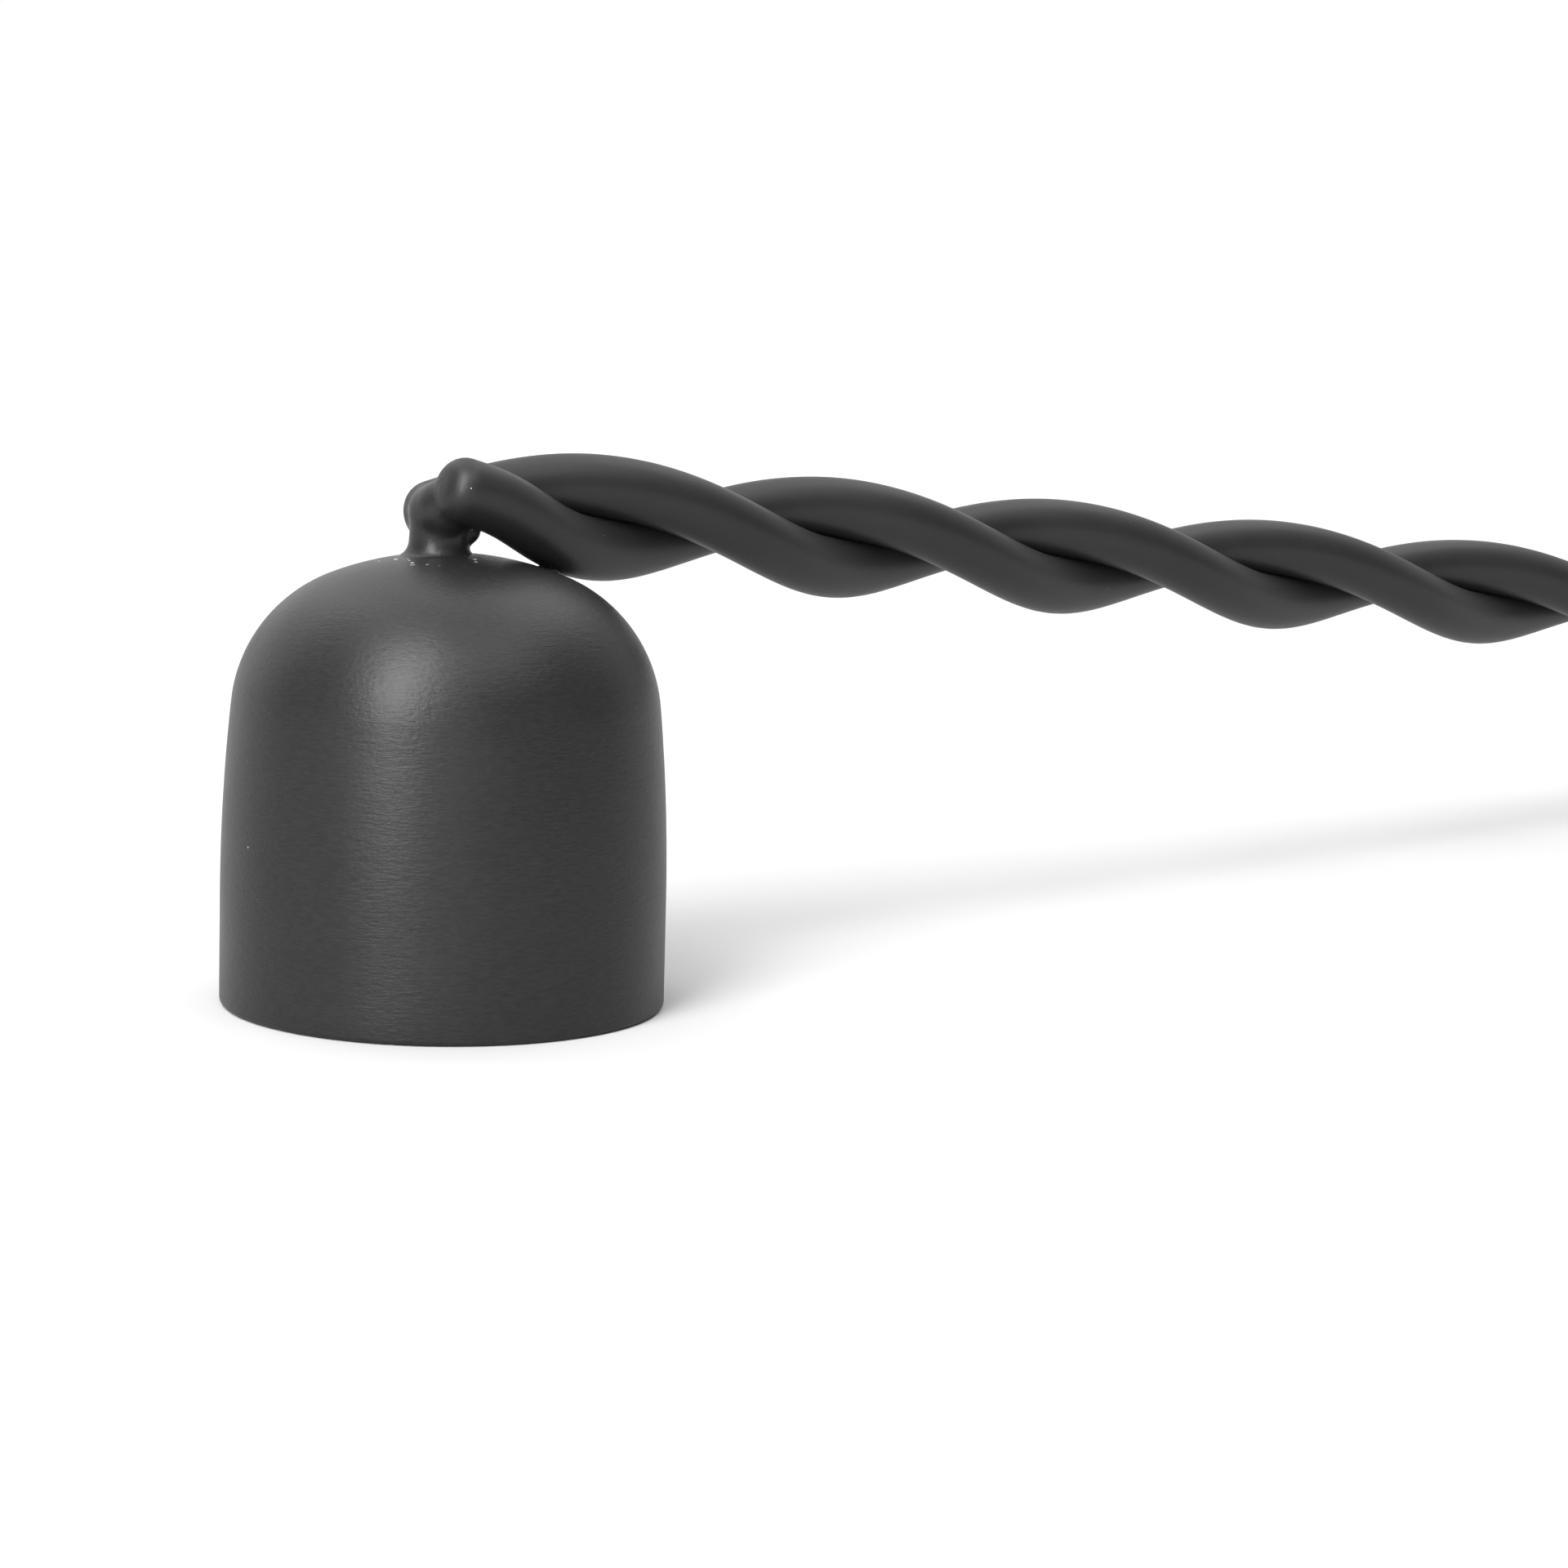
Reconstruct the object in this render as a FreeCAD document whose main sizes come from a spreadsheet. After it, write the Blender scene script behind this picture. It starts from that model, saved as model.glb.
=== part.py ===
"""Candle snuffer: a small open bell with a long handle of two twisted rods brazed on its crown.

Millimetres, +Z up. The bell's axis is Z and its rim rests on z = 0, so the origin is the centre of the mouth.
The handle runs from the crown along +X and slopes down until its tail rests on the same surface as the rim.
"""
import FreeCAD, Part
import math
import os
import Sketcher

V = FreeCAD.Vector
os.makedirs("parts", exist_ok=True)
doc = FreeCAD.newDocument("candle_snuffer")

# ---------------------------------------------------------------------------------------------------------------
# Driving dimensions. Angles are in degrees, all else in millimetres unless the note says otherwise.
# ---------------------------------------------------------------------------------------------------------------
DIMENSIONS = [
    ("bell_radius", 13.75, "outside radius of the bell's straight lower wall"),
    ("bell_height", 27.88, "rim to crown"),
    ("wall", 1.5, "thickness of the bell's wall"),
    ("straight_height", 6.8, "height of the straight lower wall"),
    ("side_radius", 119.3, "long arc of the upper side"),
    ("shoulder_radius", 9.36, "arc of the shoulder"),
    ("crown_radius", 19.67, "arc of the crown"),
    ("rim_round", 0.35, "rounding of the rim's outer edge"),
    ("rod_radius", 2.0, "each handle rod"),
    ("rod_offset", 2.03, "rod centre line to handle axis, so the rods just clear each other"),
    ("end_round", 1.5, "rounding of the rod ends"),
    ("handle_rise", 30.83, "height of the handle axis where it crosses the bell's axis"),
    ("handle_slope", 6.02, "fall of the handle towards its tail"),
    ("twist_start", 249.8, "turn of the back rod about the handle axis above the crown"),
    ("twist_pitch", 39.45, "length of one turn above the crown"),
    ("twist_opening", 2.82e-5, "turns per square millimetre by which the twist opens"),
    ("even_from", 110.0, "distance along the handle past which the twist is even"),
    ("front_start", -0.5, "front rod's end, before its rounding, along the handle"),
    ("back_start", 0.3, "back rod's end, before its rounding, along the handle"),
    ("handle_end", 256.68, "both rods' far end, before its rounding, along the handle"),
    ("lift_height", 0.42, "how far the front rod springs up over the shoulder"),
    ("lift_centre", 2.7, "middle of that lift, along the handle"),
    ("lift_length", 3.6, "half length of that lift"),
    ("pad_along", -0.15, "middle of the crown braze, along the handle"),
    ("pad_across", 0.9, "middle of the crown braze, across the handle"),
    ("pad_waist", 1.75, "radius of the crown braze's waist"),
    ("pad_flare", 0.9, "height and spread of the crown braze's flared foot"),
    ("pad_height", 1.05, "top of the crown braze above the crown"),
    ("pad_depth", 0.8, "how far the braze's blank reaches into the wall before it is trimmed"),
    ("end_bead", 1.85, "radius of the bead between the rod ends"),
    ("end_bead_along", -0.3, "middle of that bead, along the handle"),
    ("shoulder_bead", 1.0, "radius of the bead at the shoulder"),
    ("tail_bead", 1.75, "radius of the bead between the rods' far ends"),
    ("tail_bead_inset", 0.6, "middle of that bead, in from the rods' far ends"),
]

sheet = doc.addObject("Spreadsheet::Sheet", "sizes")
for row, (alias, value, note) in enumerate(DIMENSIONS, start=1):
    sheet.set(f"A{row}", note)
    sheet.set(f"B{row}", f"{value:.12f}".rstrip("0").rstrip("."))
    sheet.setAlias(f"B{row}", alias)
doc.recompute()


def size(alias):
    """A driving dimension as a plain number."""
    value = sheet.get(alias)
    return float(getattr(value, "Value", value))


def bind(obj, prop, expression):
    obj.setExpression(prop, expression)


# ---------------------------------------------------------------------------------------------------------------
# Bell: a turned shell. Its outside and its inside are the same outline of a line and three arcs round the same
# centres, the inside smaller by the wall.
# ---------------------------------------------------------------------------------------------------------------
def shoulder_centre():
    """Centre of the shoulder arc, tangent to the side arc and to the crown arc."""
    side = V(size("bell_radius") - size("side_radius"), size("straight_height"), 0)
    crown = V(0, size("bell_height") - size("crown_radius"), 0)
    from_side = size("side_radius") - size("shoulder_radius")
    from_crown = size("crown_radius") - size("shoulder_radius")
    gap = crown.sub(side)
    along = (from_side**2 - from_crown**2 + gap.Length**2) / (2 * gap.Length)
    across = math.sqrt(from_side**2 - along**2)
    unit = V(gap).normalize()
    normal = V(-unit.y, unit.x, 0)
    return side.add(unit.multiply(along)).add(normal.multiply(across))


def bell_outline(body, name, inset, inset_expression):
    """Half outline of the bell in the XZ plane, closed along the axis, moved inwards by inset."""
    sketch = body.newObject("Sketcher::SketchObject", name)
    plane = next(f for f in body.Origin.OriginFeatures if f.Role == "XZ_Plane")
    sketch.AttachmentSupport = [(plane, "")]
    sketch.MapMode = "FlatFace"

    radius = size("bell_radius") - inset
    foot = V(radius, 0, 0)
    wall_top = V(radius, size("straight_height"), 0)
    side_mid = V(size("bell_radius") - size("side_radius"), size("straight_height"), 0)
    shoulder_mid = shoulder_centre()
    crown_mid = V(0, size("bell_height") - size("crown_radius"), 0)
    side_angle = math.atan2(shoulder_mid.y - side_mid.y, shoulder_mid.x - side_mid.x)
    crown_angle = math.atan2(shoulder_mid.y - crown_mid.y, shoulder_mid.x - crown_mid.x)
    top = V(0, size("bell_height") - inset, 0)

    def arc(mid, arc_radius, first, last):
        circle = Part.Circle(mid, V(0, 0, 1), arc_radius)
        return Part.ArcOfCircle(circle, first, last)

    base = sketch.addGeometry(Part.LineSegment(V(0, 0, 0), foot))
    wall = sketch.addGeometry(Part.LineSegment(foot, wall_top))
    side = sketch.addGeometry(arc(side_mid, size("side_radius") - inset, 0, side_angle))
    shoulder = sketch.addGeometry(arc(shoulder_mid, size("shoulder_radius") - inset, side_angle, crown_angle))
    crown = sketch.addGeometry(arc(crown_mid, size("crown_radius") - inset, crown_angle, math.pi / 2))
    axis = sketch.addGeometry(Part.LineSegment(top, V(0, 0, 0)))

    start, end, centre, origin, vertical = 1, 2, 3, (-1, 1), -2
    constraints = [
        ("Coincident", base, start, *origin),
        ("Coincident", base, end, wall, start),
        ("Horizontal", base),
        ("Vertical", wall),
        ("Tangent", wall, end, side, start),
        ("Tangent", side, end, shoulder, start),
        ("Tangent", shoulder, end, crown, start),
        ("PointOnObject", crown, centre, vertical),
        ("Coincident", crown, end, axis, start),
        ("PointOnObject", axis, start, vertical),
        ("Coincident", axis, end, base, start),
    ]
    for entry in constraints:
        sketch.addConstraint(Sketcher.Constraint(*entry))
    dimensions = [
        ("base_length", ("DistanceX", base, start, base, end, radius), "sizes.bell_radius"),
        ("wall_height", ("DistanceY", wall, start, wall, end, size("straight_height")), "sizes.straight_height"),
        ("side_arc", ("Radius", side, size("side_radius") - inset), "sizes.side_radius"),
        ("shoulder_arc", ("Radius", shoulder, size("shoulder_radius") - inset), "sizes.shoulder_radius"),
        ("crown_arc", ("Radius", crown, size("crown_radius") - inset), "sizes.crown_radius"),
        ("height", ("DistanceY", base, start, crown, end, size("bell_height") - inset), "sizes.bell_height"),
    ]
    for label, entry, expression in dimensions:
        index = sketch.addConstraint(Sketcher.Constraint(*entry))
        sketch.renameConstraint(index, label)
        shift = "" if label == "wall_height" else inset_expression
        bind(sketch, f"Constraints.{label}", f"({expression}{shift}) * 1 mm")
    return sketch


bell = doc.addObject("PartDesign::Body", "bell")
bell.Label = "bell"
outside = bell_outline(bell, "bell_outside", 0, "")
shell = bell.newObject("PartDesign::Revolution", "bell_blank")
shell.Profile = outside
shell.ReferenceAxis = (outside, ["V_Axis"])
shell.Angle = 360
doc.recompute()
inside = bell_outline(bell, "bell_inside", size("wall"), " - sizes.wall")
hollow = bell.newObject("PartDesign::Groove", "bell_hollow")
hollow.Profile = inside
hollow.ReferenceAxis = (inside, ["V_Axis"])
hollow.Angle = 360
doc.recompute()


def rim_edge(shape):
    """Name of the bell's outer rim circle."""
    for number, edge in enumerate(shape.Edges, start=1):
        at_rim = abs(edge.BoundBox.ZMax) < 1e-6
        if at_rim and abs(edge.BoundBox.XMax - size("bell_radius")) < 1e-4:
            return f"Edge{number}"


softened = bell.newObject("PartDesign::Fillet", "bell_rim_round")
softened.Base = (hollow, [rim_edge(hollow.Shape)])
bind(softened, "Radius", "sizes.rim_round * 1 mm")
bell.Tip = softened
doc.recompute()


# ---------------------------------------------------------------------------------------------------------------
# Handle rods: two round rods wound round one straight axis, half a turn apart. The twist opens slightly away
# from the bell and is even from there on. The front rod springs up a little where it crosses the shoulder.
# ---------------------------------------------------------------------------------------------------------------
slope = math.radians(size("handle_slope"))
HANDLE_ALONG = V(math.cos(slope), 0, -math.sin(slope))
HANDLE_UP = V(math.sin(slope), 0, math.cos(slope))
HANDLE_FRONT = V(0, -1, 0)
POINTS_PER_TURN = 18


def handle_axis(along):
    return V(0, 0, size("handle_rise")).add(V(HANDLE_ALONG).multiply(along))


def turns(along):
    """Turns made from above the crown to this distance along the handle."""
    opening = size("twist_opening")
    near = min(along, size("even_from"))
    rate = 1 / size("twist_pitch") - 2 * opening * near
    return near / size("twist_pitch") - opening * near**2 + rate * (along - near)


def rod_centre(along, side):
    """Centre line of a rod: side is +1 for the back rod and -1 for the front one."""
    angle = math.radians(size("twist_start")) + 2 * math.pi * turns(along)
    up = side * size("rod_offset") * math.cos(angle)
    front = side * size("rod_offset") * math.sin(angle)
    if side < 0:
        up += size("lift_height") * math.exp(-(((along - size("lift_centre")) / size("lift_length")) ** 2))
    centre = handle_axis(along)
    return centre.add(V(HANDLE_UP).multiply(up)).add(V(HANDLE_FRONT).multiply(front))


def rounded_end(centre, outwards):
    """Short turned stub with a rounded edge that finishes a rod."""
    radius, corner = size("rod_radius"), size("end_round")
    flat = radius - corner
    diagonal = corner * math.sqrt(0.5)
    lines = [
        Part.LineSegment(V(0, 0, 0), V(radius, 0, 0)),
        Part.Arc(V(radius, 0, 0), V(flat + diagonal, 0, diagonal), V(flat, 0, corner)),
        Part.LineSegment(V(flat, 0, corner), V(0, 0, corner)),
        Part.LineSegment(V(0, 0, corner), V(0, 0, 0)),
    ]
    face = Part.Face(Part.Wire([line.toShape() for line in lines]))
    stub = face.revolve(V(0, 0, 0), V(0, 0, 1), 360)
    stub.Placement = FreeCAD.Placement(centre, FreeCAD.Rotation(V(0, 0, 1), outwards))
    return stub


def rod_shape(first, last, side):
    count = round(POINTS_PER_TURN * (last - first) / size("twist_pitch"))
    points = [rod_centre(first + (last - first) * step / count, side) for step in range(count + 1)]
    curve = Part.BSplineCurve()
    curve.interpolate(points)
    start_way = curve.tangent(curve.FirstParameter)[0]
    end_way = curve.tangent(curve.LastParameter)[0]
    section = Part.Wire([Part.Circle(points[0], start_way, size("rod_radius")).toShape()])
    pipe = Part.BRepOffsetAPI.MakePipeShell(Part.Wire([curve.toShape()]))
    pipe.setFrenetMode(False)
    pipe.add(section)
    pipe.build()
    pipe.makeSolid()
    rod = pipe.shape()
    head = rounded_end(points[0], start_way.negative())
    tail = rounded_end(points[-1], end_way)
    return rod.fuse([head, tail]).removeSplitter()


def solid_of(shape):
    """The single solid inside a boolean's result."""
    return shape.Solids[0] if len(shape.Solids) == 1 else shape


front_rod = doc.addObject("Part::Feature", "front_rod")
front_rod.Label = "front_rod"
front_rod.Shape = solid_of(rod_shape(size("front_start"), size("handle_end"), -1))

back_rod = doc.addObject("Part::Feature", "back_rod")
back_rod.Label = "back_rod"
back_rod.Shape = solid_of(rod_shape(size("back_start"), size("handle_end"), 1))
doc.recompute()


def trimmed(label, blank, tools):
    """Cuts a blank by each neighbour in turn, so that it fits them face to face."""
    piece = blank
    for number, tool in enumerate(tools, start=1):
        cut = doc.addObject("Part::Cut", f"{label}_cut_{number}")
        cut.Base = piece
        cut.Tool = tool
        piece = cut
    piece.Label = label
    return piece


def bead(name, radius_alias, centre):
    """Round drop of braze before it is trimmed."""
    ball = doc.addObject("Part::Sphere", name)
    bind(ball, "Radius", f"sizes.{radius_alias} * 1 mm")
    ball.Placement = FreeCAD.Placement(centre, FreeCAD.Rotation())
    return ball


# ---------------------------------------------------------------------------------------------------------------
# End braze: fills the groove between the two rounded rod ends above the crown.
# ---------------------------------------------------------------------------------------------------------------
end_blank = bead("end_blank", "end_bead", handle_axis(size("end_bead_along")))
end_braze = trimmed("end_braze", end_blank, [front_rod, back_rod])

# ---------------------------------------------------------------------------------------------------------------
# Crown braze: runs from the crown up round the back rod, with a flared foot.
# ---------------------------------------------------------------------------------------------------------------
def place_pad(piece, height_expression):
    """Stands a piece of the braze's blank on the crown, moved up by the given expression."""
    bind(piece, "Placement.Base.x", "sizes.pad_along * 1 mm")
    bind(piece, "Placement.Base.y", "sizes.pad_across * 1 mm")
    bind(piece, "Placement.Base.z", f"(sizes.bell_height {height_expression}) * 1 mm")


flare = doc.addObject("Part::Cone", "pad_flare")
bind(flare, "Radius1", "(sizes.pad_waist + 2 * sizes.pad_flare) * 1 mm")
bind(flare, "Radius2", "sizes.pad_waist * 1 mm")
bind(flare, "Height", "(sizes.pad_depth + sizes.pad_flare) * 1 mm")
place_pad(flare, "- sizes.pad_depth")
shank = doc.addObject("Part::Cylinder", "pad_shank")
bind(shank, "Radius", "sizes.pad_waist * 1 mm")
bind(shank, "Height", "(sizes.pad_depth + sizes.pad_height) * 1 mm")
place_pad(shank, "- sizes.pad_depth")
pad = doc.addObject("Part::Fuse", "pad_blank")
pad.Base = flare
pad.Tool = shank
crown_ball = doc.addObject("Part::Sphere", "crown_ball")
bind(crown_ball, "Radius", "sizes.crown_radius * 1 mm")
crown_ball.Placement.Rotation = FreeCAD.Rotation(V(1, 0, 0), 90)
bind(crown_ball, "Placement.Base.z", "(sizes.bell_height - sizes.crown_radius) * 1 mm")
crown_braze = trimmed("crown_braze", pad, [crown_ball, back_rod])

# ---------------------------------------------------------------------------------------------------------------
# Shoulder braze: a small bead where the front rod lies on the bell's shoulder.
# ---------------------------------------------------------------------------------------------------------------
doc.recompute()
touch = front_rod.Shape.distToShape(bell.Shape)
gap_width, touch_points = touch[0], touch[1][0]
shoulder_middle = touch_points[0].add(touch_points[1]).multiply(0.5)
shoulder_blank = bead("shoulder_blank", "shoulder_bead", shoulder_middle)
shoulder_braze = trimmed("shoulder_braze", shoulder_blank, [bell, front_rod])

# ---------------------------------------------------------------------------------------------------------------
# Tail braze: joins the rods at their far end.
# ---------------------------------------------------------------------------------------------------------------
tail_blank = bead("tail_blank", "tail_bead", handle_axis(size("handle_end") - size("tail_bead_inset")))
tail_braze = trimmed("tail_braze", tail_blank, [front_rod, back_rod])
doc.recompute()

# ---------------------------------------------------------------------------------------------------------------
# Checks and files
# ---------------------------------------------------------------------------------------------------------------
for obj in doc.Objects:
    if {"Invalid", "Error"} & set(obj.State):
        raise RuntimeError(f"{obj.Name} failed: {obj.State}")

print(f"front rod clears the bell by {gap_width:.3f} mm")
for piece in (bell, front_rod, back_rod, end_braze, crown_braze, shoulder_braze, tail_braze):
    shape = piece.Shape
    if shape.isNull() or not shape.isValid() or not shape.Solids:
        raise RuntimeError(f"{piece.Label} is not a valid solid")
    box = shape.BoundBox
    print(f"{piece.Label}: {len(shape.Solids)} solid(s), {shape.Volume:.2f} mm3, "
          f"x {box.XMin:.2f} {box.XMax:.2f}, y {box.YMin:.2f} {box.YMax:.2f}, z {box.ZMin:.3f} {box.ZMax:.3f}")
    shape.exportStep(f"parts/{piece.Label}.step")
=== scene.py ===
import math

import bmesh
import bpy
from mathutils import Matrix, Vector


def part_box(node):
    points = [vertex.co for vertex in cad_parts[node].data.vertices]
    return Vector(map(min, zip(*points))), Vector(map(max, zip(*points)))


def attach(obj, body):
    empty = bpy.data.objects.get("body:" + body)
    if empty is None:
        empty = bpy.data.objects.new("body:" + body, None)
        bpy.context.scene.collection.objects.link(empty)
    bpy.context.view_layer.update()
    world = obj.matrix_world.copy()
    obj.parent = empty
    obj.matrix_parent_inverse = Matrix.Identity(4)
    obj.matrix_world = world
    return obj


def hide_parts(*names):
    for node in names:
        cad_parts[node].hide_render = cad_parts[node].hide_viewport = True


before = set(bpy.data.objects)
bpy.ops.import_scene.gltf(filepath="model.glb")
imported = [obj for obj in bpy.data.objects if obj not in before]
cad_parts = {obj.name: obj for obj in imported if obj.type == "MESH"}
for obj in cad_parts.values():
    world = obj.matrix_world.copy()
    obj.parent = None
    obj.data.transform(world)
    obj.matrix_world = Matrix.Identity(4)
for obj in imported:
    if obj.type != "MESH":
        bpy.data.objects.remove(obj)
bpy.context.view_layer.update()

scene = bpy.context.scene
MM = 0.001      # sizes below are in millimetres, and this makes metres of them


# ----------------------------------------------------------------------------------------------------
# Camera: close to the bell and a little above it, with the handle running away to the right.
# ----------------------------------------------------------------------------------------------------
handle_turn = math.radians(38.67)       # between the handle and the line that runs across the view
look_down = math.radians(8.13)
camera_distance = 263.64 * MM
camera_aim = Vector((0, 0, 16.5 * MM))
pan, tilt, roll = math.radians(4.53), math.radians(0.55), math.radians(-0.92)
sensor_width = 36.0
focal_length = 98.07

flat_distance = camera_distance * math.cos(look_down)
camera_place = camera_aim + Vector((
    -flat_distance * math.sin(handle_turn),
    -flat_distance * math.cos(handle_turn),
    camera_distance * math.sin(look_down),
))
camera_data = bpy.data.cameras.new("camera")
camera_data.sensor_width = sensor_width
camera_data.lens = focal_length
camera_data.clip_start = 0.01
camera_data.clip_end = 20
camera = bpy.data.objects.new("camera", camera_data)
scene.collection.objects.link(camera)
facing_bell = Matrix.Rotation(-handle_turn, 4, "Z") @ Matrix.Rotation(math.pi / 2 - look_down, 4, "X")
turned_aside = (
    Matrix.Rotation(roll, 4, "Z") @ Matrix.Rotation(tilt, 4, "X") @ Matrix.Rotation(pan, 4, "Y")
)
camera.matrix_world = Matrix.Translation(camera_place) @ facing_bell @ turned_aside.inverted()
scene.camera = camera
scene.view_settings.view_transform = "Standard"


# ----------------------------------------------------------------------------------------------------
# Studio: a white floor in white surroundings. The floor throws back less light than it shows, as a sheet
# much smaller than this one would, and glows far from the object, so that its far edge doesn't show.
# ----------------------------------------------------------------------------------------------------
FLOOR_RADIUS, FLOOR_SIDES = 6.0, 96                     # metres, as are the glow's distances
FLOOR_SHOWN, FLOOR_THROWN_BACK = 0.71, 0.5
GLOW_FROM, GLOW_FULL, GLOW_STRENGTH = 0.3, 0.9, 1.1
COLOUR_A, COLOUR_B, COLOUR_RESULT = 6, 7, 2             # sockets of a Mix node that mixes colours
WHITE = (1, 1, 1, 1)

floor_shape = bmesh.new()
bmesh.ops.create_circle(floor_shape, cap_ends=True, segments=FLOOR_SIDES, radius=FLOOR_RADIUS)
floor_mesh = bpy.data.meshes.new("floor")
floor_shape.to_mesh(floor_mesh)
floor_shape.free()
floor = bpy.data.objects.new("floor", floor_mesh)
scene.collection.objects.link(floor)

floor_white = bpy.data.materials.new("floor white")
floor_white.use_nodes = True
nodes, links = floor_white.node_tree.nodes, floor_white.node_tree.links
paint = nodes["Principled BSDF"]
ray = nodes.new("ShaderNodeLightPath")
shade = nodes.new("ShaderNodeMix")
shade.data_type = "RGBA"
shade.inputs[COLOUR_A].default_value = (*[FLOOR_THROWN_BACK] * 3, 1)
shade.inputs[COLOUR_B].default_value = (*[FLOOR_SHOWN] * 3, 1)
links.new(ray.outputs["Is Camera Ray"], shade.inputs["Factor"])
links.new(shade.outputs[COLOUR_RESULT], paint.inputs["Base Color"])
paint.inputs["Roughness"].default_value = 1.0
paint.inputs["Specular IOR Level"].default_value = 0.0
floor_place = nodes.new("ShaderNodeTexCoord")
from_middle = nodes.new("ShaderNodeVectorMath")
from_middle.operation = "LENGTH"
glow = nodes.new("ShaderNodeMapRange")
glow.inputs["From Min"].default_value = GLOW_FROM
glow.inputs["From Max"].default_value = GLOW_FULL
glow.inputs["To Min"].default_value = 0.0
glow.inputs["To Max"].default_value = GLOW_STRENGTH
links.new(floor_place.outputs["Object"], from_middle.inputs[0])
links.new(from_middle.outputs["Value"], glow.inputs["Value"])
links.new(glow.outputs["Result"], paint.inputs["Emission Strength"])
paint.inputs["Emission Color"].default_value = WHITE
floor_mesh.materials.append(floor_white)

LAMP_DISTANCE = 1.3
STUDIO = [
    # name, degrees right of the camera, degrees up, degrees wide, degrees tall, brightness
    ("key", -29, 34, 20, 60, 7.9),
    ("key_glow", -30, 33, 34, 30, 2.5),
    ("key_foot", -29, 6, 14, 14, 3.1),
    ("overhead", -10, 84, 64, 64, 1.15),
    ("high_front", 5, 58, 70, 24, 1.0),
    ("high_left", -90, 58, 70, 24, 0.5),
    ("high_right", 95, 58, 70, 24, 0.75),
    ("high_back", 180, 58, 70, 24, 1.25),
    ("front", 3, 24, 24, 44, 0.9),
    ("right_front", 38, 24, 34, 44, 0.1),
    ("right", 80, 24, 40, 44, 0.05),
    ("right_back", 130, 24, 50, 44, 0.5),
    ("left", -78, 24, 50, 44, 0.08),
    ("left_back", -130, 24, 50, 44, 0.95),
    ("back", 180, 24, 46, 44, 0.85),
]
for name, aside, up, wide, tall, brightness in STUDIO:
    lamp_data = bpy.data.lights.new(name, "AREA")
    lamp_data.shape = "RECTANGLE"
    lamp_data.size = 2 * LAMP_DISTANCE * math.tan(math.radians(wide / 2))
    lamp_data.size_y = 2 * LAMP_DISTANCE * math.tan(math.radians(tall / 2))
    lamp_data.energy = brightness * math.pi * lamp_data.size * lamp_data.size_y
    lamp = bpy.data.objects.new(name, lamp_data)
    scene.collection.objects.link(lamp)
    turn = handle_turn - math.radians(aside)
    rise = math.radians(up)
    way = Vector((-math.sin(turn) * math.cos(rise), -math.cos(turn) * math.cos(rise), math.sin(rise)))
    lamp.location = camera_aim + way * LAMP_DISTANCE
    lamp.rotation_euler = way.to_track_quat("Z", "Y").to_euler()
    lamp.visible_camera = False

SURROUND_LIGHT, SURROUND_SHOWN = 0.06, 1.0
surround = bpy.data.worlds.new("surround")
surround.use_nodes = True
nodes, links = surround.node_tree.nodes, surround.node_tree.links
lit = nodes["Background"]
lit.inputs["Color"].default_value = WHITE
lit.inputs["Strength"].default_value = SURROUND_LIGHT
seen = nodes.new("ShaderNodeBackground")
seen.inputs["Color"].default_value = WHITE
seen.inputs["Strength"].default_value = SURROUND_SHOWN
ray = nodes.new("ShaderNodeLightPath")
choice = nodes.new("ShaderNodeMixShader")
links.new(ray.outputs["Is Camera Ray"], choice.inputs["Fac"])
links.new(lit.outputs["Background"], choice.inputs[1])
links.new(seen.outputs["Background"], choice.inputs[2])
links.new(choice.outputs["Shader"], nodes["World Output"].inputs["Surface"])
scene.world = surround


# ----------------------------------------------------------------------------------------------------
# Bell: a thin-walled cup of sheet steel, spun to shape, brushed round its axis and blackened. Its wall,
# long upper side, shoulder and crown run smoothly into each other, and the rim is softened.
# ----------------------------------------------------------------------------------------------------
BELL_RADIUS, BELL_HEIGHT, WALL = 13.75, 27.88, 1.5
STRAIGHT_HEIGHT, SIDE_RADIUS, SHOULDER_RADIUS, CROWN_RADIUS = 6.8, 119.3, 9.36, 19.67
RIM_ROUND, RIM_INSIDE_ROUND = 0.35, 0.15
SIDE_STEPS, SHOULDER_STEPS, CROWN_STEPS, BELL_STEPS = 22, 26, 22, 192
RIM_STEPS, RIM_INSIDE_STEPS = 7, 4

# The shoulder's arc touches both the side's and the crown's, so its middle is where two circles cross.
side_mid = Vector((BELL_RADIUS - SIDE_RADIUS, STRAIGHT_HEIGHT))
crown_mid = Vector((0, BELL_HEIGHT - CROWN_RADIUS))
between = crown_mid - side_mid
from_side, from_crown = SIDE_RADIUS - SHOULDER_RADIUS, CROWN_RADIUS - SHOULDER_RADIUS
foot = (from_side**2 - from_crown**2 + between.length_squared) / (2 * between.length)
unit = between.normalized()
square_to = Vector((-unit.y, unit.x))
shoulder_mid = side_mid + unit * foot + square_to * math.sqrt(from_side**2 - foot**2)
side_turn = math.atan2(shoulder_mid.y - side_mid.y, shoulder_mid.x - side_mid.x)
crown_turn = math.atan2(shoulder_mid.y - crown_mid.y, shoulder_mid.x - crown_mid.x)


def arc_points(middle, radius, first, last, steps):
    """Points along an arc of an outline, after its first one."""
    turns = [first + (last - first) * step / steps for step in range(1, steps + 1)]
    return [(middle.x + radius * math.cos(turn), middle.y + radius * math.sin(turn)) for turn in turns]


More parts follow.
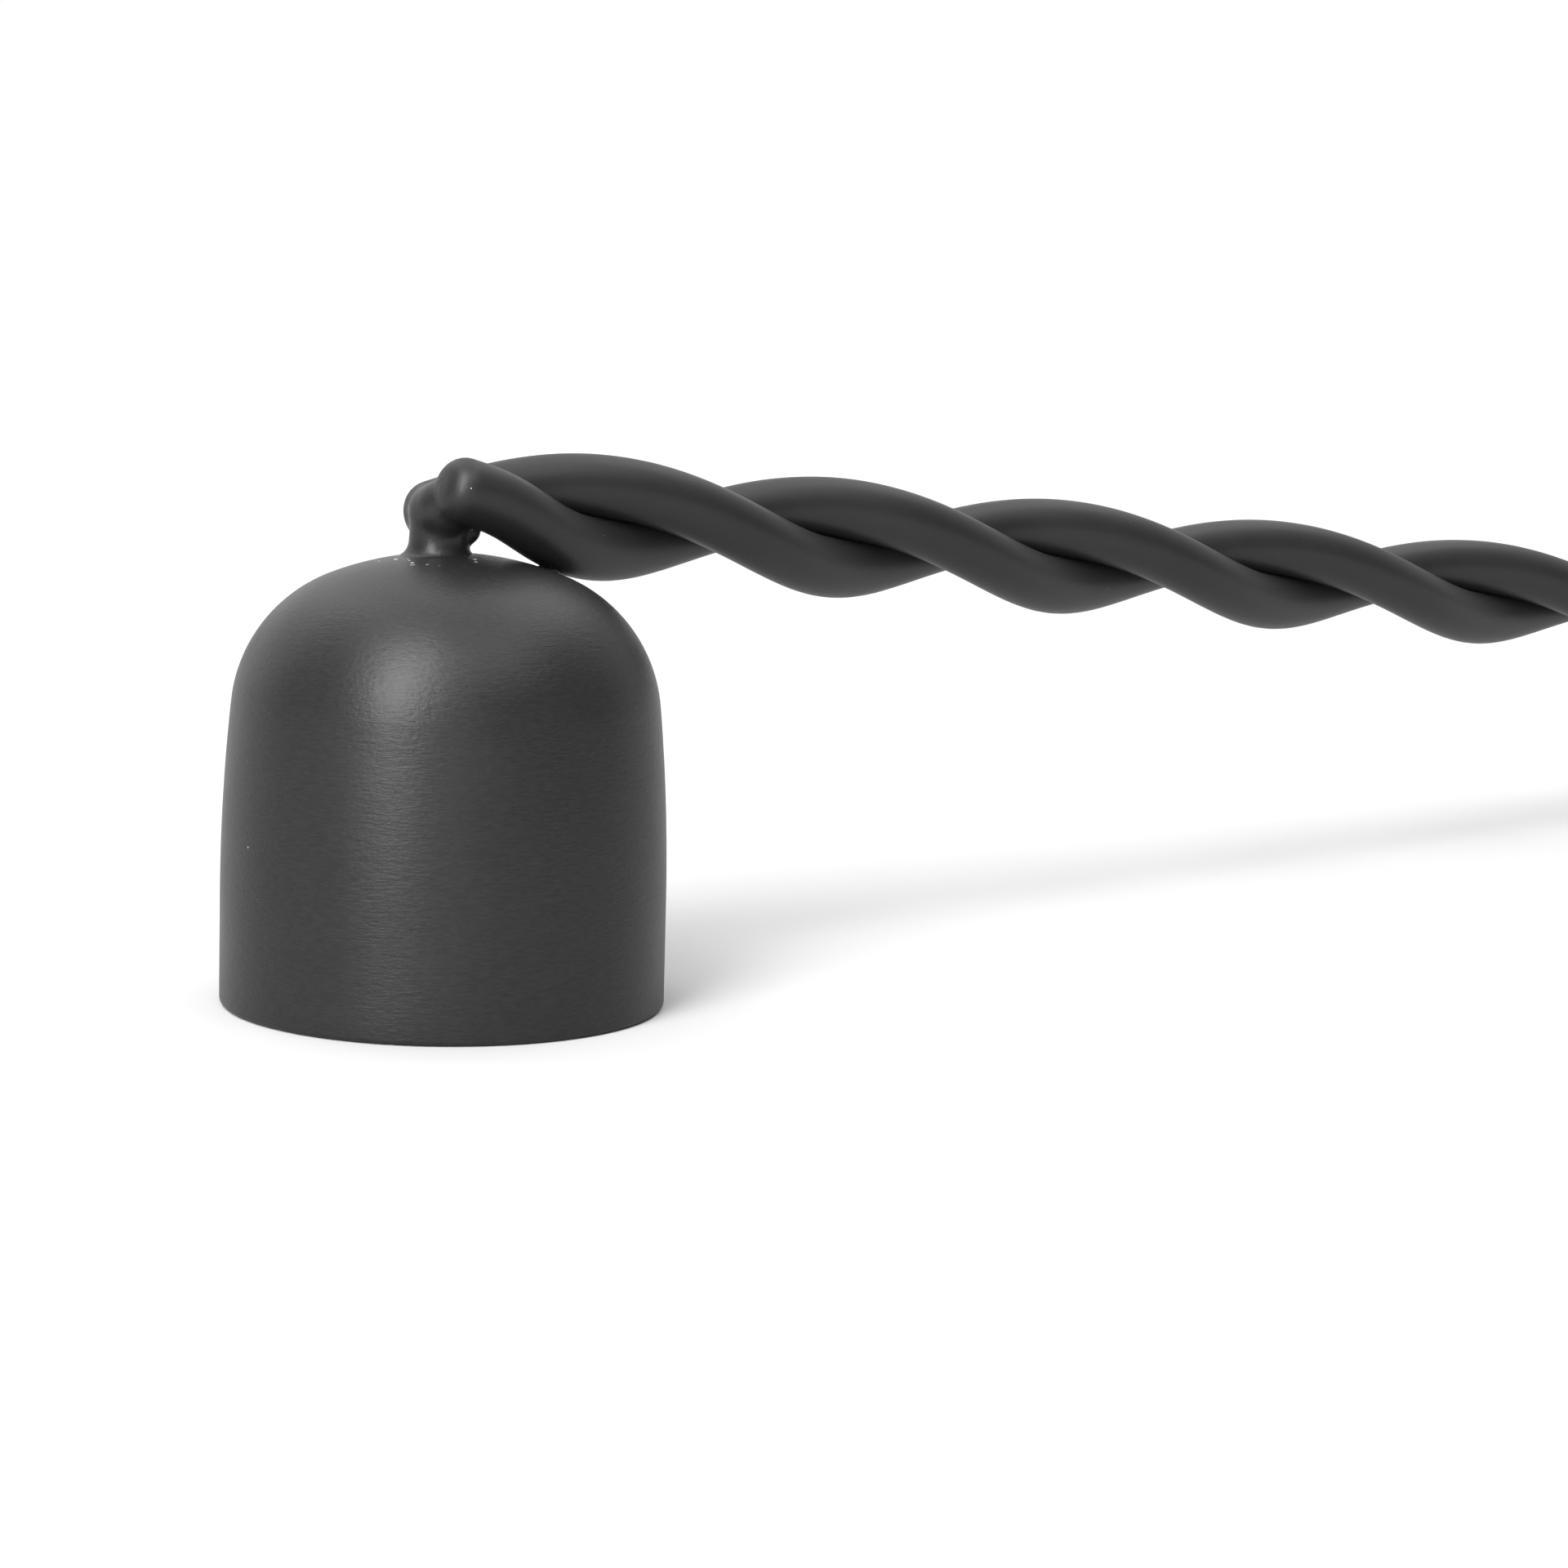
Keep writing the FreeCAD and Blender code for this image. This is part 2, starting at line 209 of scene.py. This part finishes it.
def bell_line(inset):
    """Outline of the bell from the top of its straight wall to its axis, moved inwards by inset."""
    line = [(BELL_RADIUS - inset, STRAIGHT_HEIGHT)]
    line += arc_points(side_mid, SIDE_RADIUS - inset, 0, side_turn, SIDE_STEPS)
    line += arc_points(shoulder_mid, SHOULDER_RADIUS - inset, side_turn, crown_turn, SHOULDER_STEPS)
    line += arc_points(crown_mid, CROWN_RADIUS - inset, crown_turn, math.pi / 2, CROWN_STEPS)
    return line


def lathe(shape, outline, steps, middle=(0, 0, 0)):
    """Spins an outline of (radius, height) points round an upright axis and closes its poles."""
    verts = [
        shape.verts.new(Vector(((middle[0] + r), middle[1], middle[2] + z)) * MM) for r, z in outline
    ]
    edges = [shape.edges.new(pair) for pair in zip(verts, verts[1:])]
    bmesh.ops.spin(
        shape, geom=verts + edges, cent=Vector(middle) * MM, axis=(0, 0, 1),
        angle=math.tau, steps=steps, use_merge=True,
    )
    bmesh.ops.remove_doubles(shape, verts=shape.verts, dist=0.0005 * MM)
    bmesh.ops.recalc_face_normals(shape, faces=shape.faces)


def make_piece(name, shape, material, node):
    """Turns a finished bmesh into a smooth piece that rides on the body and stands for its CAD node."""
    mesh = bpy.data.meshes.new(name)
    shape.to_mesh(mesh)
    shape.free()
    mesh.shade_smooth()
    mesh.materials.append(material)
    piece = bpy.data.objects.new(name, mesh)
    scene.collection.objects.link(piece)
    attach(piece, "root")
    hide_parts(node)


def node_group(name, inputs, outputs):
    """Empty shader group with named sockets. Returns it with its two end nodes."""
    group = bpy.data.node_groups.new(name, "ShaderNodeTree")
    for socket_name, kind, value in inputs:
        socket = group.interface.new_socket(name=socket_name, in_out="INPUT", socket_type=kind)
        if value is not None:
            socket.default_value = value
    for socket_name, kind in outputs:
        group.interface.new_socket(name=socket_name, in_out="OUTPUT", socket_type=kind)
    return group, group.nodes.new("NodeGroupInput"), group.nodes.new("NodeGroupOutput")


def calculate(tree, operation, first, second=None, third=None):
    """Math node fed by sockets or plain numbers. Returns its result."""
    node = tree.nodes.new("ShaderNodeMath")
    node.operation = operation
    for index, source in enumerate((first, second, third)):
        if isinstance(source, bpy.types.NodeSocket):
            tree.links.new(source, node.inputs[index])
        elif source is not None:
            node.inputs[index].default_value = source
    return node.outputs["Value"]


def noise(tree, vector, scale, detail, roughness=0.5):
    """Noise at a scale that is a socket or a plain number. Returns its value, about 0.5."""
    node = tree.nodes.new("ShaderNodeTexNoise")
    tree.links.new(vector, node.inputs["Vector"])
    if isinstance(scale, bpy.types.NodeSocket):
        tree.links.new(scale, node.inputs["Scale"])
    else:
        node.inputs["Scale"].default_value = scale
    node.inputs["Detail"].default_value = detail
    node.inputs["Roughness"].default_value = roughness
    return node.outputs["Fac"]


def use_group(tree, group, vector, values):
    """Places a group in a material, with its Vector linked and its other inputs set."""
    node = tree.nodes.new("ShaderNodeGroup")
    node.node_tree = group
    tree.links.new(vector, node.inputs["Vector"])
    for name, value in values.items():
        node.inputs[name].default_value = value
    return node


FLOAT, VECTOR = "NodeSocketFloat", "NodeSocketVector"

# Grain: the matt skin of blackened steel, with fine pits and wide, faint changes of tone.
black_grain, start, end = node_group(
    "black grain",
    [("Vector", VECTOR, None), ("Pits per m", FLOAT, 5000.0), ("Clouds per m", FLOAT, 160.0)],
    [("Pits", FLOAT), ("Clouds", FLOAT)],
)
pits = noise(black_grain, start.outputs["Vector"], start.outputs["Pits per m"], 3)
clouds = noise(black_grain, start.outputs["Vector"], start.outputs["Clouds per m"], 4, 0.6)
black_grain.links.new(pits, end.inputs["Pits"])
black_grain.links.new(clouds, end.inputs["Clouds"])

# Spatter: stray bright specks of braze, each much smaller than the cell it sits in.
spatter, start, end = node_group(
    "spatter",
    [
        ("Vector", VECTOR, None), ("Cells per m", FLOAT, 900.0),
        ("Size", FLOAT, 0.1), ("Share", FLOAT, 0.3),
    ],
    [("Specks", FLOAT)],
)
cells = spatter.nodes.new("ShaderNodeTexVoronoi")
spatter.links.new(start.outputs["Vector"], cells.inputs["Vector"])
spatter.links.new(start.outputs["Cells per m"], cells.inputs["Scale"])
pick = spatter.nodes.new("ShaderNodeSeparateColor")
spatter.links.new(cells.outputs["Color"], pick.inputs["Color"])
chosen = calculate(spatter, "LESS_THAN", pick.outputs["Red"], start.outputs["Share"])
speck_size = calculate(spatter, "MULTIPLY", start.outputs["Size"], pick.outputs["Green"])
speck = calculate(spatter, "LESS_THAN", cells.outputs["Distance"], speck_size)
spatter.links.new(calculate(spatter, "MULTIPLY", chosen, speck), end.inputs["Specks"])

# Brushing: fine scratches that run round the Z axis, on wall and crown alike.
brushing, start, end = node_group(
    "round brushing",
    [("Vector", VECTOR, None), ("Turns", FLOAT, 1.0), ("Lines per m", FLOAT, 9000.0)],
    [("Lines", FLOAT)],
)
split = brushing.nodes.new("ShaderNodeSeparateXYZ")
brushing.links.new(start.outputs["Vector"], split.inputs["Vector"])
flat = brushing.nodes.new("ShaderNodeCombineXYZ")
brushing.links.new(split.outputs["X"], flat.inputs["X"])
brushing.links.new(split.outputs["Y"], flat.inputs["Y"])
from_axis = brushing.nodes.new("ShaderNodeVectorMath")
from_axis.operation = "LENGTH"
brushing.links.new(flat.outputs["Vector"], from_axis.inputs[0])
bearing = brushing.nodes.new("ShaderNodeVectorMath")
bearing.operation = "NORMALIZE"
brushing.links.new(flat.outputs["Vector"], bearing.inputs[0])
round_way = brushing.nodes.new("ShaderNodeSeparateXYZ")
brushing.links.new(bearing.outputs["Vector"], round_way.inputs["Vector"])
down_the_side = calculate(brushing, "SUBTRACT", split.outputs["Z"], from_axis.outputs["Value"])
rolled = brushing.nodes.new("ShaderNodeCombineXYZ")
for axis, source, rate in (
    ("X", round_way.outputs["X"], "Turns"),
    ("Y", round_way.outputs["Y"], "Turns"),
    ("Z", down_the_side, "Lines per m"),
):
    scaled = calculate(brushing, "MULTIPLY", source, start.outputs[rate])
    brushing.links.new(scaled, rolled.inputs[axis])
brushing.links.new(noise(brushing, rolled.outputs["Vector"], 1.0, 4, 0.6), end.inputs["Lines"])

# Every blackened part has the same black under its own grain. Depths in its bump are in microns.
BLACK = (0.034, 0.034, 0.0343)
BARE_SPECK = (0.75, 0.75, 0.74, 1)
STEEL_METALLIC, STEEL_SPECULAR = 0.45, 0.42
MICRON = 0.001 * MM


def black_steel(name, tone_change, roughness, roughness_change, pits_per_m, pit_depth):
    """Blackened steel with its grain. Returns the material, its tree, position, tone and bump height."""
    material = bpy.data.materials.new(name)
    material.use_nodes = True
    tree = material.node_tree
    shader = tree.nodes["Principled BSDF"]
    shader.inputs["Metallic"].default_value = STEEL_METALLIC
    shader.inputs["Specular IOR Level"].default_value = STEEL_SPECULAR
    position = tree.nodes.new("ShaderNodeTexCoord").outputs["Object"]
    grain = use_group(tree, black_grain, position, {"Pits per m": pits_per_m})
    cloud = calculate(tree, "SUBTRACT", grain.outputs["Clouds"], 0.5)
    tone = calculate(tree, "MULTIPLY_ADD", cloud, tone_change, 1.0)
    sheen = calculate(tree, "MULTIPLY_ADD", cloud, roughness_change, roughness)
    tree.links.new(sheen, shader.inputs["Roughness"])
    height = calculate(tree, "MULTIPLY", grain.outputs["Pits"], pit_depth)
    return material, tree, position, tone, height


def finish_steel(tree, tone, height, specks):
    """Joins tone, specks and height to the shader of a blackened steel."""
    shader = tree.nodes["Principled BSDF"]
    black = tree.nodes.new("ShaderNodeVectorMath")
    black.operation = "SCALE"
    black.inputs[0].default_value = BLACK
    tree.links.new(tone, black.inputs["Scale"])
    bright = tree.nodes.new("ShaderNodeMix")
    bright.data_type = "RGBA"
    tree.links.new(specks, bright.inputs["Factor"])
    tree.links.new(black.outputs["Vector"], bright.inputs[COLOUR_A])
    bright.inputs[COLOUR_B].default_value = BARE_SPECK
    tree.links.new(bright.outputs[COLOUR_RESULT], shader.inputs["Base Color"])
    bump = tree.nodes.new("ShaderNodeBump")
    bump.inputs["Strength"].default_value = 1.0
    bump.inputs["Distance"].default_value = MICRON
    tree.links.new(height, bump.inputs["Height"])
    tree.links.new(bump.outputs["Normal"], shader.inputs["Normal"])


def near_point(tree, position, centre, inner, outer):
    """1 within the inner distance of a point, 0 past the outer one."""
    away = tree.nodes.new("ShaderNodeVectorMath")
    away.operation = "DISTANCE"
    tree.links.new(position, away.inputs[0])
    away.inputs[1].default_value = Vector(centre) * MM
    fade = tree.nodes.new("ShaderNodeMapRange")
    fade.interpolation_type = "SMOOTHSTEP"
    fade.inputs["From Min"].default_value = inner * MM
    fade.inputs["From Max"].default_value = outer * MM
    fade.inputs["To Min"].default_value = 1.0
    fade.inputs["To Max"].default_value = 0.0
    tree.links.new(away.outputs["Value"], fade.inputs["Value"])
    return fade.outputs["Result"]


# The bell's brushing is fine lines over coarse ones. Specks lie thick round the crown braze's foot.
FINE_DEPTH, COARSE_DEPTH, STREAK = 20.0, 18.0, 0.9
BRAZE_FOOT = (-0.15, 0.9, 27.9)
bell_black, tree, position, tone, height = black_steel(
    "brushed black bell",
    tone_change=0.3, roughness=0.36, roughness_change=0.12, pits_per_m=3600.0, pit_depth=16.0,
)
fine = use_group(tree, brushing, position, {"Turns": 20.0, "Lines per m": 8000.0})
coarse = use_group(tree, brushing, position, {"Turns": 8.0, "Lines per m": 2600.0})
height = calculate(tree, "MULTIPLY_ADD", fine.outputs["Lines"], FINE_DEPTH, height)
height = calculate(tree, "MULTIPLY_ADD", coarse.outputs["Lines"], COARSE_DEPTH, height)
streak = calculate(tree, "MULTIPLY", calculate(tree, "SUBTRACT", fine.outputs["Lines"], 0.5), STREAK)
tone = calculate(tree, "ADD", tone, streak)
spots = use_group(tree, spatter, position, {"Cells per m": 1700.0, "Size": 0.32, "Share": 0.6})
strays = use_group(tree, spatter, position, {"Cells per m": 500.0, "Size": 0.035, "Share": 0.25})
by_foot = near_point(tree, position, BRAZE_FOOT, 3.4, 4.8)
by_braze = calculate(tree, "MULTIPLY", spots.outputs["Specks"], by_foot)
finish_steel(tree, tone, height, calculate(tree, "MAXIMUM", by_braze, strays.outputs["Specks"]))

# The outline runs down the inside from the axis, round the rim, and up the outside to the axis.
inner_radius = BELL_RADIUS - WALL
inner_round = Vector((inner_radius + RIM_INSIDE_ROUND, RIM_INSIDE_ROUND))
outer_round = Vector((BELL_RADIUS - RIM_ROUND, RIM_ROUND))
straight_outside = STRAIGHT_HEIGHT - RIM_ROUND
outline = list(reversed(bell_line(WALL)))
outline += [(inner_radius, STRAIGHT_HEIGHT * part_up) for part_up in (0.66, 0.33)]
outline.append((inner_radius, RIM_INSIDE_ROUND))
outline += arc_points(inner_round, RIM_INSIDE_ROUND, math.pi, 1.5 * math.pi, RIM_INSIDE_STEPS)
outline.append((BELL_RADIUS - RIM_ROUND, 0.0))
outline += arc_points(outer_round, RIM_ROUND, -0.5 * math.pi, 0, RIM_STEPS)
outline += [(BELL_RADIUS, RIM_ROUND + straight_outside * part_up) for part_up in (0.2, 0.4, 0.6, 0.8)]
outline += bell_line(0)
bell_shape = bmesh.new()
lathe(bell_shape, outline, BELL_STEPS)
make_piece("bell_shell", bell_shape, bell_black, "bell")


# ----------------------------------------------------------------------------------------------------
# Handle rods: two lengths of 4 mm round steel wound round each other, touching all along, with rounded
# ends. The front one springs up a little where it crosses the bell's shoulder.
# ----------------------------------------------------------------------------------------------------
ROD_RADIUS, ROD_OFFSET, END_ROUND = 2.0, 1.985, 1.5
HANDLE_RISE, HANDLE_SLOPE, HANDLE_END = 30.83, math.radians(6.02), 256.68
TWIST_START, TWIST_PITCH, TWIST_OPENING, EVEN_FROM = math.radians(249.8), 39.45, 2.82e-5, 110.0
FRONT, BACK = -1, 1
FRONT_START, BACK_START = -0.5, 0.3
LIFT_HEIGHT, LIFT_CENTRE, LIFT_LENGTH = 0.42, 2.7, 3.6
ROD_SIDES, ROD_STEP, END_STEPS = 48, 0.6, 8
WAY_STEP = 0.01
handle_along = Vector((math.cos(HANDLE_SLOPE), 0, -math.sin(HANDLE_SLOPE)))
handle_up = Vector((math.sin(HANDLE_SLOPE), 0, math.cos(HANDLE_SLOPE)))
handle_front = Vector((0, -1, 0))


def handle_axis(along):
    """Point on the line that both rods wind round, a distance along from above the bell's middle."""
    return Vector((0, 0, HANDLE_RISE)) + handle_along * along


def rod_centre(along, side):
    """Centre line of the front or back rod. Its twist opens slowly, then stays even."""
    near = min(along, EVEN_FROM)
    even_rate = 1 / TWIST_PITCH - 2 * TWIST_OPENING * near
    turns = near / TWIST_PITCH - TWIST_OPENING * near**2 + even_rate * (along - near)
    angle = TWIST_START + math.tau * turns
    up = side * ROD_OFFSET * math.cos(angle)
    front = side * ROD_OFFSET * math.sin(angle)
    if side == FRONT:
        up += LIFT_HEIGHT * math.exp(-(((along - LIFT_CENTRE) / LIFT_LENGTH) ** 2))
    return handle_axis(along) + handle_up * up + handle_front * front


def rod_way(along, side):
    """Direction that a rod runs in."""
    return (rod_centre(along + WAY_STEP, side) - rod_centre(along - WAY_STEP, side)).normalized()


def round_end(end, way, outwards, swell, step):
    """Centre, direction and radius of one section of a rod's rounded end, counted outwards."""
    corner, turn = END_ROUND + swell, 0.5 * math.pi * step / END_STEPS
    reach = ROD_RADIUS + swell - corner * (1 - math.cos(turn))
    return end + way * (outwards * corner) * math.sin(turn), way, reach


def sweep_rod(shape, first, last, side, first_swell=0.0, last_swell=0.0):
    """Draws a rod with rounded ends along its centre line. The swells make its ends thicker."""
    count = round((last - first) / ROD_STEP)
    start, start_way = rod_centre(first, side), rod_way(first, side)
    end, end_way = rod_centre(last, side), rod_way(last, side)
    sections = [round_end(start, start_way, -1, first_swell, step) for step in range(END_STEPS, 0, -1)]
    for step in range(count + 1):
        share = step / count
        along = first + (last - first) * share
        swell = first_swell + (last_swell - first_swell) * share
        sections.append((rod_centre(along, side), rod_way(along, side), ROD_RADIUS + swell))
    sections += [round_end(end, end_way, 1, last_swell, step) for step in range(1, END_STEPS + 1)]

    centre, way, reach = sections[0]
    placed = Matrix.Translation(centre * MM) @ way.to_track_quat("Z", "Y").to_matrix().to_4x4()
    ring = bmesh.ops.create_circle(
        shape, cap_ends=True, cap_tris=False, segments=ROD_SIDES, radius=reach * MM, matrix=placed
    )["verts"]
    edges = list({edge for vert in ring for edge in vert.link_edges})
    for next_centre, next_way, next_reach in sections[1:]:
        made = bmesh.ops.extrude_edge_only(shape, edges=edges)["geom"]
        ring = [item for item in made if isinstance(item, bmesh.types.BMVert)]
        edges = [item for item in made if isinstance(item, bmesh.types.BMEdge)]
        bend = way.rotation_difference(next_way).to_matrix().to_4x4()
        grow = Matrix.Scale(next_reach / reach, 4)
        move = Matrix.Translation(next_centre * MM) @ bend @ grow @ Matrix.Translation(-centre * MM)
        bmesh.ops.transform(shape, matrix=move, verts=ring)
        centre, way, reach = next_centre, next_way, next_reach
    bmesh.ops.contextual_create(shape, geom=edges)
    bmesh.ops.recalc_face_normals(shape, faces=shape.faces)


rod_black, tree, position, tone, height = black_steel(
    "satin black rod",
    tone_change=0.4, roughness=0.41, roughness_change=0.12, pits_per_m=4200.0, pit_depth=11.0,
)
strays = use_group(tree, spatter, position, {"Cells per m": 600.0, "Size": 0.03, "Share": 0.3})
finish_steel(tree, tone, height, strays.outputs["Specks"])
for name, first, side, node in (
    ("rod_front", FRONT_START, FRONT, "front_rod"),
    ("rod_back", BACK_START, BACK, "back_rod"),
):
    rod_shape = bmesh.new()
    sweep_rod(rod_shape, first, HANDLE_END, side)
    make_piece(name, rod_shape, rod_black, node)


# ----------------------------------------------------------------------------------------------------
# Brazes: metal melted into the joints, blackened with the rest. Each fills the angle between its
# neighbours. The end and tail brazes' blanks are the rods' own surfaces with drops of metal, and the
# shoulder braze's is one stretched drop; each blank is melted into one skin.
# ----------------------------------------------------------------------------------------------------
MELT_GRAIN, MELT_PASSES, SHOULDER_PASSES = 0.09, 130, 10
SPECKS_MIDDLE = (-0.15, -0.5, 28.2)
braze_black, tree, position, tone, height = black_steel(
    "black braze",
    tone_change=0.5, roughness=0.36, roughness_change=0.16, pits_per_m=2400.0, pit_depth=26.0,
)
spots = use_group(tree, spatter, position, {"Cells per m": 1700.0, "Size": 0.16, "Share": 0.3})
low_down = near_point(tree, position, SPECKS_MIDDLE, 1.9, 2.6)
finish_steel(tree, tone, height, calculate(tree, "MULTIPLY", spots.outputs["Specks"], low_down))


def melt(name, shape, passes):
    """Melts overlapping closed shapes into one skin with soft inside corners."""
    mesh = bpy.data.meshes.new(name)
    shape.to_mesh(mesh)
    shape.free()
    blank = bpy.data.objects.new(name + "_blank", mesh)
    scene.collection.objects.link(blank)
    join = blank.modifiers.new("join", "REMESH")
    join.mode = "VOXEL"
    join.voxel_size = MELT_GRAIN * MM
    flow = blank.modifiers.new("flow", "SMOOTH")
    flow.factor = 0.5
    flow.iterations = passes
    bpy.context.view_layer.update()
    depsgraph = bpy.context.evaluated_depsgraph_get()
    melted = bpy.data.meshes.new_from_object(blank.evaluated_get(depsgraph))
    bpy.data.objects.remove(blank)
    skin = bmesh.new()
    skin.from_mesh(melted)
    bpy.data.meshes.remove(melted)
    bmesh.ops.recalc_face_normals(skin, faces=skin.faces)
    return skin


def drop(shape, centre, radius, stretch=(1, 1, 1)):
    """A drop of metal, round or stretched."""
    placed = Matrix.Translation(centre * MM) @ Matrix.Diagonal((*stretch, 1))
    bmesh.ops.create_icosphere(shape, subdivisions=4, radius=radius * MM, matrix=placed)


def split_skin(skin, height, keep_above):
    """Copy of a skin cut level at a height and closed, with the side above or below the cut kept."""
    part = skin.copy()
    cut = bmesh.ops.bisect_plane(
        part, geom=part.verts[:] + part.edges[:] + part.faces[:],
        plane_co=(0, 0, height * MM), plane_no=(0, 0, 1),
        clear_inner=keep_above, clear_outer=not keep_above,
    )
    rim = [item for item in cut["geom_cut"] if isinstance(item, bmesh.types.BMEdge)]
    bmesh.ops.holes_fill(part, edges=rim)
    for edge in rim:
        edge.smooth = False
    bmesh.ops.recalc_face_normals(part, faces=part.faces)
    return part


def keep_joined(part, point):
    """Removes whatever isn't joined to the vertex nearest a point."""
    waiting = [min(part.verts, key=lambda vert: (vert.co - point * MM).length_squared)]
    joined = set(waiting)
    while waiting:
        beside = {edge.other_vert(vert) for vert in waiting for edge in vert.link_edges}
        waiting = list(beside - joined)
        joined |= beside
    bmesh.ops.delete(part, geom=[vert for vert in part.verts if vert not in joined], context="VERTS")


# Above the crown, both rounded rod ends are run together, and a short waisted neck joins them to the
# bell. One skin is melted over all of that and cut level above the waist, into the end braze and the
# crown braze. It stands proud of the rods at their ends and sinks into them further along.
STUB_END, STUB_PROUD, STUB_SUNK = 3.6, 0.04, -0.25
NECK_RADIUS, NECK_SUNK, NECK_TOP, NECK_SIDES = 1.8, -0.9, 1.5, 64
FOOT_ROUND, FOOT_DROP, FOOT_STEPS = 0.95, 0.33, 10
CUT_HEIGHT = 1.0
END_DROP_RADIUS, WEB_RADIUS = 1.8, 1.0
crown_middle = Vector((-0.15, 0.9, BELL_HEIGHT))
web_middle = Vector((1.45, 0.2, BELL_HEIGHT + 1.35))
end_middle = handle_axis(-0.45) + Vector((0, 0, -0.2))
back_middle = end_middle.lerp(rod_centre(BACK_START, BACK), 0.45) + Vector((-0.25, -0.1, -0.1))
foot_reach = NECK_RADIUS + FOOT_ROUND
foot_middle = Vector((foot_reach, FOOT_ROUND - FOOT_DROP))
neck_line = [(0, NECK_SUNK), (foot_reach, NECK_SUNK), (foot_reach, -FOOT_DROP)]
neck_line += arc_points(foot_middle, FOOT_ROUND, 1.5 * math.pi, math.pi, FOOT_STEPS)
neck_line += [(NECK_RADIUS, NECK_TOP), (0, NECK_TOP)]

blank = bmesh.new()
sweep_rod(blank, FRONT_START, STUB_END, FRONT, STUB_PROUD, STUB_SUNK)
sweep_rod(blank, BACK_START, STUB_END, BACK, STUB_PROUD, STUB_SUNK)
drop(blank, end_middle, END_DROP_RADIUS)
drop(blank, back_middle, END_DROP_RADIUS)
drop(blank, web_middle, WEB_RADIUS)
lathe(blank, neck_line, NECK_SIDES, crown_middle)
skin = melt("ends", blank, MELT_PASSES)
end_part = split_skin(skin, BELL_HEIGHT + CUT_HEIGHT, True)
make_piece("braze_end", end_part, braze_black, "end_braze")
crown_part = split_skin(skin, BELL_HEIGHT + CUT_HEIGHT, False)
keep_joined(crown_part, crown_middle)
make_piece("braze_crown", crown_part, braze_black, "crown_braze")
skin.free()

# A small run of braze lies in the angle where the front rod touches the bell's shoulder.
SHOULDER_DROP, SHOULDER_STRETCH = 0.62, (1.9, 0.9, 0.55)
low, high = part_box("shoulder_braze")
contact = (low + high) / 2 / MM
blank = bmesh.new()
drop(blank, contact, SHOULDER_DROP, SHOULDER_STRETCH)
shoulder_part = melt("shoulder", blank, SHOULDER_PASSES)
make_piece("braze_shoulder", shoulder_part, braze_black, "shoulder_braze")

# The rods' far ends are run together in the same way as their near ones.
TAIL_PROUD, TAIL_DROP_IN, TAIL_DROP_RADIUS = 0.02, 0.2, 1.65
blank = bmesh.new()
for side in (FRONT, BACK):
    sweep_rod(blank, HANDLE_END - STUB_END, HANDLE_END, side, STUB_SUNK, TAIL_PROUD)
drop(blank, handle_axis(HANDLE_END - TAIL_DROP_IN), TAIL_DROP_RADIUS)
tail_part = melt("tail", blank, MELT_PASSES)
make_piece("braze_tail", tail_part, braze_black, "tail_braze")
